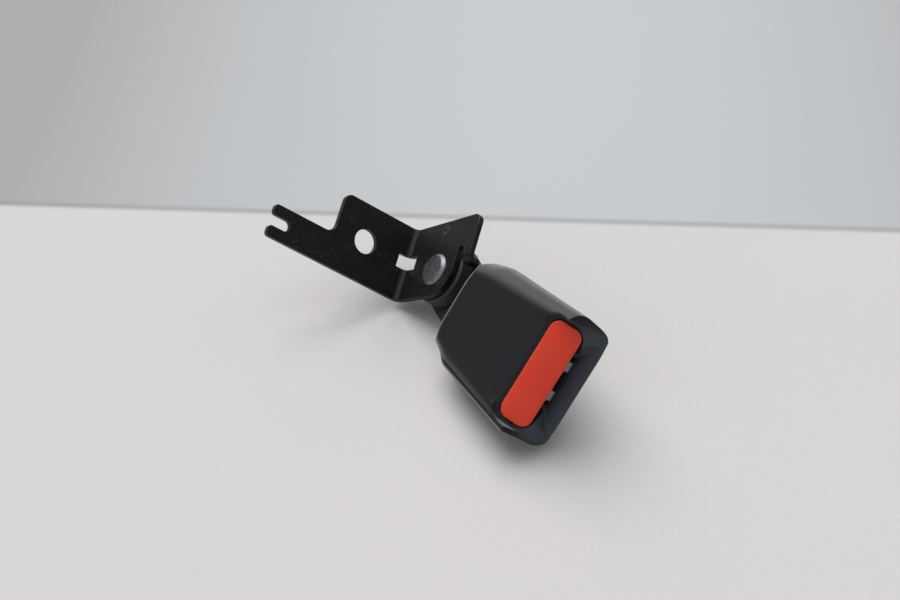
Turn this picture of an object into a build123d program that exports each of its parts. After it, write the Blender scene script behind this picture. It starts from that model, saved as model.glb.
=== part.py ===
from build123d import *
import math
import os

# Seat belt buckle on an angled anchor bracket, lying on a table as set down.
# Millimetres. +Z is up, +X is the way the buckle points, seen from above.
# The origin is the centre of the anchor bolt hole on the bracket's inner face.

# Resting attitude of the anchor plate, as turns about X, Y and Z
resting_turn = (159.6, -48.5, 119.1)

# Anchor bracket
sheet = 2.5
bend_radius = 2.5
plates_angle = 93.5
bracket_height = 34.8
plate_length = 69.0
tall_length = 39.0
fork_top = 14.9
fork_slot_width = 4.8
fork_slot_height = 7.5
fork_slot_depth = 9.5
fork_root_radius = 4.5
tall_corner_radius = 3.5
fork_tip_radius = 1.8
bolt_hole = 11.0
bolt_along = 23.2
bolt_height = 18.3
window_bottom = 14.8
window_height = 6.4
window_on_plate = 5.1
window_on_wall = 5.8
wall_length = 43.7
wall_rise = 2.9
wall_corner_radius = 4.0
pad_radius = 12.6
relief_width = 3.5
finger_width = 5.6
pivot_along = wall_length - finger_width - relief_width - pad_radius
relief_top = 22.4
finger_bend_start = 18.5
finger_bend_radius = 1.0
finger_tab = 3.0

# Pivot stack
pivot_height = 12.8
rivet_diameter = 8.0
rivet_head = 14.7
rivet_head_height = 1.6
rivet_head_chamfer = 1.3
rivet_tail = 13.0
rivet_tail_height = 1.9
hinge_clearance = 0.03
fit_clearance = 0.05
spring_washer_outer = 22.0
spring_washer_thick = 0.5
spring_washer_dish = 0.3
spacer_radius = 14.0
spacer_thick = 6.7
spacer_collar_radius = 5.8
slide_gap = 0.1
bush_outer = 11.9
bush_flange = 18.0
bush_flange_thick = 0.6
tail_washer_outer = 20.0
tail_washer_thick = 1.5

# Widths that follow the button's
button_width = 45.0
recess_side_gap = 2.0
cheek_width = 7.2
draft = 5.8
rear_taper = 7.4
strap_setback = 8.0
recess_width = button_width + 2 * recess_side_gap
front_half_width_top = recess_width / 2 + cheek_width
front_half_width_bottom = front_half_width_top - draft
rear_half_width = front_half_width_top - rear_taper
strap_width = button_width - 2 * strap_setback

# Strap and the housing's place on it
strap_thick = 3.0
strap_end_margin = 0.3
strap_end_radius = strap_width / 2 + strap_end_margin
strap_level = -2.4
strap_inside = 14.0
swing = -32.0
roll = 4.1
lean_back = 11.6
housing_start = (24.85, -2.4, -9.6)

# Housing
housing_length = 71.0
rear_top = 13.7
rear_bottom = -8.3
front_top = 11.35
front_bottom = -10.0
rear_top_radius = 9.9
rear_bottom_radius = 8.4
front_top_radius = 6.5
front_bottom_radius = 5.0
rear_rounding = 7.0
plan_rounding = 13.0
cover_wall = 1.8
parting_level = 4.4
parting_gap = 0.15
nose_length = 13.0
nose_start = housing_length - nose_length
nose_top_setback = 10.8
nose_top_edge = housing_length - nose_top_setback
nose_lean = 19.0
nose_rounding = 1.0
nose_trim = 0.03
nose_shoulder = 4.0
lip_corner_radius = 4.0
funnel_throat = 11.2
funnel_side_wall = 2.9
funnel_mouth = front_half_width_bottom - funnel_side_wall
flare_start_setback = 12.2
flare_end_setback = 3.5
funnel_drop = 0.2
ramp_start_setback = 9.5
ramp_end_setback = 1.2
ramp_end_level = -8.9
strap_opening_side = 0.5
strap_opening_height = 3.8
cut_reach = 5.0

# Release button and its recess
button_depth = 14.0
button_corner = 4.5
button_setback = 12.7
button_level = 6.1
button_centre = (housing_length - button_setback, 0, button_level)
button_slope = 32.0
button_skirt = 3.2
button_rim = 0.2
button_crown = 0.6
button_gap = 0.4
button_travel = 4.0
button_skin = 1.7
recess_back = 10.6
recess_corner = 7.0
recess_wall = 2.0
recess_reach = 16.0
button_well = 8.5
leg_width = 3.0
leg_bottom = 6.25
leg_height = 2.5
sleeve_inset = 3.1
sleeve_side = button_width / 2 - sleeve_inset
sleeve_outer = 5.6
sleeve_inner = 4.4
sleeve_end = 7.0
post_depth = 10.5
post_diameter = 3.9
post_length = 6.5

# Frame
frame_sheet = 1.5
frame_start = 4.5
frame_setback = 0.5
frame_end = nose_start - frame_setback
frame_side_gap = 0.3
frame_half_width = strap_width / 2 + frame_side_gap + frame_sheet
ear_top = 6.2
ear_half_length = 5.0
ear_lean = 1.5
ear_corner = 2.5
slot_side = 3.9
slot_rear = strap_inside - 0.1
tooth_window_length = 6.2
tooth_window_setback = 8.1
tooth_window_front = frame_end - tooth_window_setback
tooth_window_rear = tooth_window_front - tooth_window_length
tooth_window_side = 4.8
frame_seat = 0.05
frame_rivet_along = 9.0
frame_rivet_side = 8.0
frame_rivet_diameter = 4.0
frame_rivet_head = 7.0

# Latch
latch_tooth_reach = 3.2
latch_front = tooth_window_rear + latch_tooth_reach
latch_ear_rear = 13.5
latch_ear_length = 3.0
latch_pin_offset = 0.05
latch_pin_along = (latch_ear_rear + latch_front) / 2 + latch_pin_offset
latch_pin_level = 2.6
latch_pin_diameter = 4.0
latch_pin_half_length = 16.5
latch_sheet = 2.5
latch_bottom = 3.5
latch_side_gap = 4.0
latch_half_width = frame_half_width - latch_side_gap
latch_tooth_half_width = 4.4
latch_tooth_tip = -5.8
leg_side_gap = 0.5
leg_inner = frame_half_width + leg_side_gap
leg_end_gap = 0.5
leg_rear = latch_ear_rear + leg_end_gap
leg_setback = 4.0
leg_front = frame_end - leg_setback
latch_ear_margin = 0.3
latch_ear_side = leg_inner + leg_width - latch_ear_margin
latch_lug_sheet = 2.0
latch_lug_radius = 2.4
latch_window_half_length = 3.7
latch_window_side = 6.0

# Ejector
ejector_reach = 2.5
ejector_tip = frame_end + ejector_reach
ejector_bar_offset = 0.1
ejector_bar_front = tooth_window_rear + ejector_bar_offset
ejector_bar_length = 10.3
ejector_rear = ejector_bar_front - ejector_bar_length
ejector_side_gap = 0.4
ejector_half_width = frame_half_width - frame_sheet - ejector_side_gap
ejector_finger_side = 6.8
ejector_finger_width = 4.1
ejector_clearance = 0.1
ejector_stop_gap = 1.0
ejector_travel = ejector_rear - strap_inside - ejector_stop_gap
ejector_barrel_width = 7.2
ejector_barrel_height = 5.6
ejector_pocket = 8.0
ejector_pocket_diameter = 5.6

# Springs
button_spring_outer = 3.8
button_spring_wire = 0.6
button_spring_turns = 4
ejector_spring_outer = 5.0
ejector_spring_wire = 0.7
ejector_spring_turns = 7
latch_spring_wire = 0.9
latch_spring_turns = 4
latch_spring_setback = 5.4

# Cover screws
screw_along = 8.6
screw_inset = 5.7
screw_side = rear_half_width - screw_inset
screw_head = 3.8
screw_head_height = 1.2
screw_shank = 1.8
screw_boss_radius = 2.3
screw_head_level = -6.2
screw_top = 7.4
screw_clearance = 0.05


def place(base, position=(0, 0, 0), rotation=(0, 0, 0)):
    """A plane moved and turned within another plane."""
    return Plane(base.location * Location(position, rotation))


def corner(sketch, x, y):
    """The sketch corner nearest a point."""
    return sketch.vertices().sort_by_distance((x, y, 0))[0]


def axis_of(plane):
    """The line through a plane's origin, square to it."""
    return Axis(plane.origin, plane.z_dir)


def turned(base, points):
    """A turned body from its half section, given as radius and height pairs."""
    with BuildSketch(place(base, rotation=(90, 0, 0))) as section:
        Polygon(*points, align=None)
    revolve(section.sketch, axis=axis_of(base))


def cross_plane(base, along):
    """A plane square to a base plane's X, with its X along the base's Y."""
    origin = base.from_local_coords((along, 0, 0))
    return Plane(origin=origin, x_dir=base.y_dir, z_dir=base.x_dir)


def side_plane(base, across):
    """A plane square to a base plane's Y, with its X along the base's X."""
    return place(base, (0, across, 0), (90, 0, 0))


def rod(plane, points, diameter):
    """A round rod bent along a line of points."""
    with BuildLine(plane) as path:
        Polyline(*points)
    with BuildSketch(Plane(origin=path.line @ 0, z_dir=path.line % 0)) as section:
        Circle(diameter / 2)
    sweep(section.sketch, path=path.line, transition=Transition.ROUND)


def coil(base, outer, wire, pitch, length):
    """A coil spring standing on a plane."""
    radius = (outer - wire) / 2
    start = place(base, (0, 0, wire / 2))
    with BuildLine() as path:
        Helix(
            pitch=pitch,
            height=length - wire,
            radius=radius,
            center=start.origin,
            direction=start.z_dir,
        )
    with BuildSketch(Plane(origin=path.line @ 0, z_dir=path.line % 0)) as section:
        Circle(wire / 2)
    sweep(section.sketch, path=path.line)


# Planes of the bracket
plate_plane = Plane(Location((0, 0, 0), resting_turn))
anchor_plane = place(plate_plane, (-bolt_along, -bolt_height, 0))
wall_plane = place(anchor_plane, rotation=(0, plates_angle, 0))
pivot_plane = place(wall_plane, (pivot_along, pivot_height, 0))

# Planes of the buckle
swing_plane = place(pivot_plane, rotation=(0, 0, swing))
buckle_plane = place(swing_plane, housing_start, (roll, lean_back, 0))
button_plane = place(buckle_plane, button_centre, (0, button_slope, 0))

# Levels of the pivot stack, from the wall's inner face
wall_back = -sheet
spring_washer_level = wall_back - spring_washer_thick - spring_washer_dish
spacer_level = spring_washer_level - spacer_thick
strap_top = spacer_level - slide_gap
strap_bottom = strap_top - strap_thick
bush_level = strap_bottom - bush_flange_thick
tail_washer_level = bush_level - tail_washer_thick
rivet_end = tail_washer_level - rivet_tail_height

bend_angle = 180 - plates_angle
bend_start = bend_radius * math.tan(math.radians(bend_angle / 2))

# Levels inside the housing
channel_floor = strap_level - strap_thick
frame_bottom = channel_floor - frame_sheet
upper_plate_top = strap_level + frame_sheet
latch_top = latch_bottom + latch_sheet


# Mounting bracket
with BuildPart() as mounting_bracket:
    with BuildSketch(anchor_plane) as plate_outline:
        Polygon(
            (bend_start, 0),
            (plate_length, 0),
            (plate_length, fork_top),
            (tall_length, fork_top),
            (tall_length, bracket_height),
            (bend_start, bracket_height),
            align=None,
        )
        fillet(corner(plate_outline, tall_length, fork_top), fork_root_radius)
        fillet(corner(plate_outline, tall_length, bracket_height), tall_corner_radius)
        with Locations((plate_length, fork_slot_height)):
            slot_reach = fork_slot_depth - fork_slot_width / 2
            SlotCenterToCenter(2 * slot_reach, fork_slot_width, mode=Mode.SUBTRACT)
        lower_tip = fork_slot_height - fork_slot_width / 2
        upper_tip = fork_slot_height + fork_slot_width / 2
        for tip_y in (0, lower_tip, upper_tip, fork_top):
            fillet(corner(plate_outline, plate_length, tip_y), fork_tip_radius)
        with Locations((bolt_along, bolt_height)):
            Circle(bolt_hole / 2, mode=Mode.SUBTRACT)
    extrude(amount=sheet)
    with BuildSketch(wall_plane) as wall_outline:
        with BuildLine():
            relief_x = pivot_along + pad_radius
            Line((bend_start, 0), (pivot_along, 0))
            CenterArc((pivot_along, pad_radius), pad_radius, -90, 90)
            Line((relief_x, pad_radius), (relief_x, relief_top - relief_width / 2))
            ThreePointArc(
                (relief_x, relief_top - relief_width / 2),
                (relief_x + relief_width / 2, relief_top),
                (relief_x + relief_width, relief_top - relief_width / 2),
            )
            Polyline(
                (relief_x + relief_width, relief_top - relief_width / 2),
                (relief_x + relief_width, finger_bend_start),
                (wall_length, finger_bend_start),
                (wall_length, bracket_height + wall_rise),
                (bend_start, bracket_height),
                (bend_start, 0),
            )
        make_face()
        fillet(corner(wall_outline, wall_length, bracket_height + wall_rise), wall_corner_radius)
        with Locations((pivot_along, pivot_height)):
            Circle(rivet_diameter / 2, mode=Mode.SUBTRACT)
    extrude(amount=-sheet)
    bend_plane = place(wall_plane, (bend_start, 0, bend_radius), (0, 90, 0))
    with BuildSketch(bend_plane):
        with Locations((bend_radius, 0)):
            Rectangle(sheet, bracket_height, align=(Align.MIN, Align.MIN))
    revolve(axis=Axis(bend_plane.origin, bend_plane.y_dir), revolution_arc=bend_angle)
    finger_x = wall_length - finger_width
    with BuildSketch(place(wall_plane, (finger_x, finger_bend_start, -sheet), (90, 0, 0))):
        Rectangle(finger_width, sheet, align=(Align.MIN, Align.MIN))
    finger_hinge = place(wall_plane, (finger_x, finger_bend_start, -sheet - finger_bend_radius))
    revolve(axis=Axis(finger_hinge.origin, finger_hinge.x_dir), revolution_arc=90)
    tab_y = finger_bend_start - finger_bend_radius - sheet
    with BuildSketch(place(wall_plane, (finger_x, tab_y, -sheet - finger_bend_radius))):
        Rectangle(finger_width, sheet, align=(Align.MIN, Align.MIN))
    extrude(amount=-finger_tab)
    with BuildSketch(place(wall_plane, (0, window_bottom, 0), (-90, 0, 0))):
        with Locations((window_on_wall, -window_on_plate)):
            Rectangle(2 * window_on_wall, 2 * window_on_plate, align=(Align.MAX, Align.MIN))
    extrude(amount=window_height, mode=Mode.SUBTRACT)

# Pivot rivet
with BuildPart() as pivot_rivet:
    turned(pivot_plane, [
        (0, rivet_end),
        (rivet_tail / 2 - 0.8, rivet_end),
        (rivet_tail / 2, rivet_end + 0.8),
        (rivet_tail / 2, tail_washer_level),
        (rivet_diameter / 2, tail_washer_level),
        (rivet_diameter / 2, 0),
        (rivet_head / 2, 0),
        (rivet_head / 2, rivet_head_height - rivet_head_chamfer),
        (rivet_head / 2 - rivet_head_chamfer, rivet_head_height),
        (0, rivet_head_height),
    ])

# Dished spring washer behind the wall
with BuildPart() as spring_washer:
    washer_inner = spacer_collar_radius + fit_clearance
    turned(pivot_plane, [
        (washer_inner, wall_back - spring_washer_thick),
        (washer_inner, wall_back),
        (spring_washer_outer / 2, wall_back - spring_washer_dish),
        (spring_washer_outer / 2, spring_washer_level),
    ])

# Plastic spacer between washer and strap
with BuildPart() as pivot_spacer:
    spacer_bore = rivet_diameter / 2 + fit_clearance
    turned(pivot_plane, [
        (spacer_bore, spacer_level),
        (spacer_bore, wall_back - slide_gap),
        (spacer_collar_radius, wall_back - slide_gap),
        (spacer_collar_radius, spring_washer_level),
        (spacer_radius - 0.8, spring_washer_level),
        (spacer_radius, spring_washer_level - 0.8),
        (spacer_radius, spacer_level + 0.5),
        (spacer_radius - 0.5, spacer_level),
    ])

# Flanged bush in the strap's eye
with BuildPart() as pivot_bush:
    bush_bore = rivet_diameter / 2 + hinge_clearance
    turned(pivot_plane, [
        (bush_bore, bush_level),
        (bush_flange / 2, bush_level),
        (bush_flange / 2, strap_bottom),
        (bush_outer / 2, strap_bottom),
        (bush_outer / 2, strap_top),
        (bush_bore, strap_top),
    ])

# Washer under the rivet's tail
with BuildPart() as tail_washer:
    turned(pivot_plane, [
        (rivet_diameter / 2 + fit_clearance, tail_washer_level),
        (tail_washer_outer / 2, tail_washer_level),
        (tail_washer_outer / 2, bush_level - slide_gap),
        (rivet_diameter / 2 + fit_clearance, bush_level - slide_gap),
    ])

# Steel strap from the pivot into the housing
with BuildPart() as buckle_strap:
    strap_plane = place(swing_plane, (0, 0, strap_top))
    with BuildSketch(strap_plane):
        Circle(strap_end_radius)
        with Locations((12.75, -2.0)):
            Rectangle(0.5, strap_width)
        make_hull()
        Circle(bush_outer / 2 + fit_clearance, mode=Mode.SUBTRACT)
    extrude(amount=-strap_thick)
    with BuildSketch(place(strap_plane, (13.0, -2.0, 0), (0, 90, 0))):
        Rectangle(strap_thick, strap_width, align=(Align.MIN, Align.CENTER))
    with BuildSketch(place(buckle_plane, (-5.5, 0, strap_level), (0, 90, 0))):
        Rectangle(strap_thick, strap_width, align=(Align.MIN, Align.CENTER))
    loft()
    with BuildSketch(place(buckle_plane, (0, 0, strap_level))):
        with Locations((strap_inside, 0)):
            Rectangle(strap_inside + 5.5, strap_width, align=(Align.MAX, Align.CENTER))
        with Locations((frame_rivet_along, 0)):
            with GridLocations(0, 2 * frame_rivet_side, 1, 2):
                Circle(frame_rivet_diameter / 2, mode=Mode.SUBTRACT)
    extrude(amount=-strap_thick)


# Housing sections and bodies
def housing_section(along, top_half, bottom_half, bottom, top, radii):
    """One cross section of the housing, narrower below than above."""
    with BuildSketch(cross_plane(buckle_plane, along)) as section:
        Polygon(
            (-bottom_half, bottom),
            (bottom_half, bottom),
            (top_half, top),
            (-top_half, top),
            align=None,
        )
        lower, upper = radii
        for side in (-1, 1):
            fillet(corner(section, side * bottom_half, bottom), lower)
            fillet(corner(section, side * top_half, top), upper)
    return section.sketch


def housing_body(inset):
    """The housing's outer form, or the same form set in by a wall."""
    rear = housing_section(
        inset,
        rear_half_width - inset,
        rear_half_width - inset,
        rear_bottom + inset,
        rear_top - inset,
        (rear_bottom_radius - inset, rear_top_radius - inset),
    )
    front = housing_section(
        housing_length,
        front_half_width_top - inset,
        front_half_width_bottom - inset,
        front_bottom + inset,
        front_top - inset,
        (front_bottom_radius - inset, front_top_radius - inset),
    )
    with BuildPart() as body:
        loft([rear, front])
        with BuildSketch(place(buckle_plane, (inset, 0, rear_bottom))) as plan:
            width = 2 * (rear_half_width - inset)
            Polygon(
                (0, -width / 2),
                (housing_length, -width),
                (housing_length, width),
                (0, width / 2),
                align=None,
            )
            for side in (-1, 1):
                fillet(corner(plan, 0, side * width / 2), plan_rounding - inset)
        extrude(amount=housing_length, both=True, mode=Mode.INTERSECT)
        with BuildSketch(side_plane(buckle_plane, 0)) as profile:
            Polygon(
                (inset, rear_bottom + inset),
                (housing_length, front_bottom - cut_reach),
                (housing_length, rear_top + cut_reach),
                (inset, rear_top - inset),
                align=None,
            )
            fillet(corner(profile, inset, rear_bottom + inset), rear_rounding - inset)
            fillet(corner(profile, inset, rear_top - inset), rear_rounding - inset)
        extrude(amount=housing_length, both=True, mode=Mode.INTERSECT)
    return body.part


def level_at(along, rear_level, front_level):
    """The level of a sloping face at a distance from the housing's rear."""
    return rear_level + (front_level - rear_level) * along / housing_length


cavity_end = Plane(origin=buckle_plane.from_local_coords((nose_start, 0, 0)), z_dir=buckle_plane.x_dir)
nose_top = level_at(nose_top_edge, rear_top, front_top) - nose_trim
lip_along = nose_top_edge + (nose_top - front_bottom) * math.tan(math.radians(nose_lean))
lip_level = level_at(lip_along, rear_bottom, front_bottom) + nose_trim

with BuildPart() as housing_outer:
    add(housing_body(0))
    with BuildSketch(side_plane(buckle_plane, 0)) as nose_profile:
        Polygon(
            (-1, rear_bottom + nose_trim),
            (lip_along, lip_level),
            (nose_top_edge, nose_top),
            (-1, rear_top - nose_trim),
            align=None,
        )
        fillet(corner(nose_profile, lip_along, lip_level), nose_rounding)
        fillet(corner(nose_profile, nose_top_edge, nose_top), nose_rounding)
    extrude(amount=housing_length, both=True, mode=Mode.INTERSECT)
    with BuildSketch(place(buckle_plane, (0, 0, rear_bottom - cut_reach))) as nose_plan:
        shoulder = nose_start + nose_shoulder
        Polygon(
            (-1, -front_half_width_top - 1),
            (shoulder, -front_half_width_top - 1),
            (lip_along, -front_half_width_bottom),
            (lip_along, front_half_width_bottom),
            (shoulder, front_half_width_top + 1),
            (-1, front_half_width_top + 1),
            align=None,
        )
        for side in (-1, 1):
            fillet(corner(nose_plan, lip_along, side * front_half_width_bottom), lip_corner_radius)
    extrude(amount=housing_length, mode=Mode.INTERSECT)

with BuildPart() as housing_cavity:
    add(housing_body(cover_wall))
    split(bisect_by=cavity_end, keep=Keep.BOTTOM)

# Space the tongue is guided through, in front of the frame
flare_start = housing_length - flare_start_setback
flare_end = housing_length - flare_end_setback
ramp_start = housing_length - ramp_start_setback
ramp_end = housing_length - ramp_end_setback
funnel_front = housing_length + cut_reach
with BuildPart() as funnel:
    with BuildSketch(place(buckle_plane, (0, 0, rear_bottom - cut_reach))):
        Polygon(
            (nose_start - 1, -funnel_throat),
            (flare_start, -funnel_throat),
            (flare_end, -funnel_mouth),
            (funnel_front, -funnel_mouth),
            (funnel_front, funnel_mouth),
            (flare_end, funnel_mouth),
            (flare_start, funnel_throat),
            (nose_start - 1, funnel_throat),
            align=None,
        )
    extrude(amount=parting_level - rear_bottom + cut_reach)
    with BuildSketch(side_plane(buckle_plane, 0)):
        Polygon(
            (nose_start - 1, channel_floor - funnel_drop),
            (ramp_start, channel_floor - funnel_drop),
            (ramp_end, ramp_end_level),
            (funnel_front, ramp_end_level),
            (funnel_front, front_top),
            (nose_start - 1, front_top),
            align=None,
        )
    extrude(amount=funnel_mouth, both=True, mode=Mode.INTERSECT)

# Upper cover with the button's recess and the tongue's nose
with BuildPart() as upper_cover:
    add(housing_outer.part)
    add(housing_cavity.part, mode=Mode.SUBTRACT)
    with BuildSketch(place(button_plane, (0, 0, -recess_wall))):
        with Locations((-recess_back - recess_wall, 0)):
            Rectangle(3 * recess_back, recess_width + 2 * recess_wall, align=(Align.MIN, Align.CENTER))
    extrude(amount=recess_reach)
    with BuildSketch(place(buckle_plane, (0, 0, parting_level))):
        with Locations((screw_along, 0)):
            with GridLocations(0, 2 * screw_side, 1, 2):
                Circle(screw_boss_radius)
    extrude(amount=rear_top - parting_level)
    with BuildSketch(place(buckle_plane, (0, 0, upper_plate_top + frame_seat))):
        with Locations((frame_start + 1, 0)):
            with GridLocations(0, 2 * frame_half_width - frame_sheet, 1, 2):
                Rectangle(2, frame_sheet)
    extrude(amount=rear_top - upper_plate_top)
    add(housing_outer.part, mode=Mode.INTERSECT)
    with BuildSketch(button_plane) as recess:
        with Locations((-recess_back, 0)):
            Rectangle(4 * recess_back, recess_width, align=(Align.MIN, Align.CENTER))
        for side in (-1, 1):
            fillet(corner(recess, -recess_back, side * recess_width / 2), recess_corner)
    extrude(amount=recess_reach, mode=Mode.SUBTRACT)
    with BuildSketch(place(button_plane, (0, 0, 1))):
        RectangleRounded(
            button_depth + 2 * button_gap,
            button_width + 2 * button_gap,
            button_corner + button_gap,
        )
    extrude(amount=-button_well - 1, mode=Mode.SUBTRACT)
    with BuildSketch(place(buckle_plane, (leg_front + button_gap, 0, leg_bottom - button_gap))):
        with GridLocations(0, 2 * leg_inner + leg_width, 1, 2):
            Rectangle(3 * leg_width, leg_width + 2 * button_gap, align=(Align.MAX, Align.CENTER))
    extrude(amount=leg_height + 2 * button_gap, mode=Mode.SUBTRACT)
    add(funnel.part, mode=Mode.SUBTRACT)
    with BuildSketch(place(buckle_plane, (0, 0, screw_head_level))):
        with Locations((screw_along, 0)):
            with GridLocations(0, 2 * screw_side, 1, 2):
                Circle(screw_shank / 2 + screw_clearance)
    extrude(amount=screw_top - screw_head_level + 0.3, mode=Mode.SUBTRACT)
    with BuildSketch(place(buckle_plane, (nose_start, 0, parting_level + parting_gap / 2))):
        Rectangle(2 * housing_length, 2 * housing_length, align=(Align.MAX, Align.CENTER))
    extrude(amount=-housing_length, mode=Mode.SUBTRACT)
    with BuildSketch(place(buckle_plane, (0, 0, parting_level + parting_gap / 2))):
        with Locations((frame_start + 1, 0)):
            with GridLocations(0, 2 * frame_half_width - frame_sheet, 1, 2):
                Rectangle(2, frame_sheet)
    extrude(amount=upper_plate_top + frame_seat - parting_level)

# Lower cover, a tray that carries the frame
with BuildPart() as lower_cover:
    add(housing_outer.part)
    add(housing_cavity.part, mode=Mode.SUBTRACT)
    rib_foot = front_bottom + cover_wall / 2
    with BuildSketch(place(buckle_plane, (0, 0, rib_foot))):
        with Locations((frame_end / 2, 0)):
            with GridLocations(0, 2 * frame_half_width - 6 * frame_sheet, 1, 2):
                Rectangle(frame_end - 4 * frame_sheet, frame_sheet)
    extrude(amount=frame_bottom - rib_foot)
    with BuildSketch(place(buckle_plane, (0, 0, parting_level - parting_gap / 2))):
        with Locations((screw_along, 0)):
            with GridLocations(0, 2 * screw_side, 1, 2):
                Circle(screw_boss_radius)
    extrude(amount=frame_bottom - parting_level)
    with BuildSketch(place(button_plane, (0, 0, -post_depth))):
        with GridLocations(0, 2 * sleeve_side, 1, 2):
            Circle(post_diameter / 2)
    extrude(amount=-post_length)
    add(housing_outer.part, mode=Mode.INTERSECT)
    with BuildSketch(place(buckle_plane, (frame_start - 0.3, 0, frame_bottom - frame_seat))):
        Rectangle(housing_length, 2 * frame_half_width + 0.6, align=(Align.MIN, Align.CENTER))
    extrude(amount=rear_top, mode=Mode.SUBTRACT)
    opening_level = strap_level - strap_thick / 2 - strap_opening_height / 2
    with BuildSketch(place(buckle_plane, (-1, 0, opening_level))):
        Rectangle(frame_start + 2, strap_width + 2 * strap_opening_side, align=(Align.MIN, Align.CENTER))
    extrude(amount=strap_opening_height, mode=Mode.SUBTRACT)
    with BuildSketch(place(buckle_plane, (0, 0, parting_level))):
        with Locations((screw_along, 0)):
            with GridLocations(0, 2 * screw_side, 1, 2):
                Circle(screw_shank / 2 + screw_clearance)
    extrude(amount=-housing_length, mode=Mode.SUBTRACT)
    with BuildSketch(place(buckle_plane, (0, 0, screw_head_level))):
        with Locations((screw_along, 0)):
            with GridLocations(0, 2 * screw_side, 1, 2):
                Circle(screw_head / 2 + 0.3)
    extrude(amount=-housing_length, mode=Mode.SUBTRACT)
    with BuildSketch(place(buckle_plane, (nose_start - parting_gap, 0, rear_bottom - cut_reach))):
        Rectangle(2 * housing_length, 2 * housing_length, align=(Align.MAX, Align.CENTER))
    extrude(amount=parting_level - parting_gap / 2 - rear_bottom + cut_reach, mode=Mode.INTERSECT)

# Frame, a channel with ears for the latch pin
frame_symmetry = Plane(origin=buckle_plane.origin, z_dir=buckle_plane.y_dir)
with BuildPart() as frame_lower_plate:
    with BuildSketch(side_plane(buckle_plane, frame_half_width)) as frame_side:
        Polygon(
            (frame_start, frame_bottom),
            (frame_end, frame_bottom),
            (frame_end, upper_plate_top),
            (latch_pin_along + ear_half_length, upper_plate_top),
            (latch_pin_along + ear_half_length - ear_lean, ear_top),
            (latch_pin_along - ear_half_length + ear_lean, ear_top),
            (latch_pin_along - ear_half_length, upper_plate_top),
            (frame_start, upper_plate_top),
            align=None,
        )
        for side in (-1, 1):
            ear_x = latch_pin_along + side * (ear_half_length - ear_lean)
            fillet(corner(frame_side, ear_x, ear_top), ear_corner)
        with Locations((latch_pin_along, latch_pin_level)):
            Circle(latch_pin_diameter / 2 + fit_clearance, mode=Mode.SUBTRACT)
    extrude(amount=frame_sheet)
    mirror(about=frame_symmetry)
    with BuildSketch(place(buckle_plane, (frame_start, 0, frame_bottom))):
        Rectangle(frame_end - frame_start, 2 * frame_half_width, align=(Align.MIN, Align.CENTER))
    extrude(amount=frame_sheet)
    with BuildSketch(place(buckle_plane, (0, 0, frame_bottom))):
        with Locations((slot_rear, 0)):
            Rectangle(tooth_window_rear - slot_rear + 1, 2 * slot_side, align=(Align.MIN, Align.CENTER))
        with Locations((tooth_window_rear, 0)):
            tooth_window = tooth_window_front - tooth_window_rear
            Rectangle(tooth_window, 2 * tooth_window_side, align=(Align.MIN, Align.CENTER))
        with Locations((frame_rivet_along, 0)):
            with GridLocations(0, 2 * frame_rivet_side, 1, 2):
                Circle(frame_rivet_diameter / 2)
    extrude(amount=frame_sheet, mode=Mode.SUBTRACT)

# Upper plate over the tongue's channel
with BuildPart() as frame_upper_plate:
    with BuildSketch(place(buckle_plane, (0, 0, strap_level))):
        with Locations((frame_start, 0)):
            plate_width = 2 * (frame_half_width - frame_sheet - fit_clearance)
            Rectangle(frame_end - frame_start, plate_width, align=(Align.MIN, Align.CENTER))
        with Locations((slot_rear, 0)):
            slot_length = tooth_window_rear - slot_rear + 1
            Rectangle(slot_length, 2 * slot_side, align=(Align.MIN, Align.CENTER), mode=Mode.SUBTRACT)
        with Locations((tooth_window_rear, 0)):
            window = tooth_window_front - tooth_window_rear
            Rectangle(window, 2 * tooth_window_side, align=(Align.MIN, Align.CENTER), mode=Mode.SUBTRACT)
        with Locations((frame_rivet_along, 0)):
            with GridLocations(0, 2 * frame_rivet_side, 1, 2):
                Circle(frame_rivet_diameter / 2, mode=Mode.SUBTRACT)
    extrude(amount=frame_sheet)

# Rivets that clamp strap and frame
with BuildPart() as frame_rivets:
    for side in (-1, 1):
        turned(place(buckle_plane, (frame_rivet_along, side * frame_rivet_side, 0)), [
            (0, frame_bottom),
            (frame_rivet_diameter / 2 - fit_clearance, frame_bottom),
            (frame_rivet_diameter / 2 - fit_clearance, upper_plate_top),
            (frame_rivet_head / 2, upper_plate_top),
            (frame_rivet_head / 2 - 0.3, upper_plate_top + 0.8),
            (frame_rivet_head / 2 - 1.4, upper_plate_top + 1.3),
            (0, upper_plate_top + 1.5),
        ])

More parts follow.
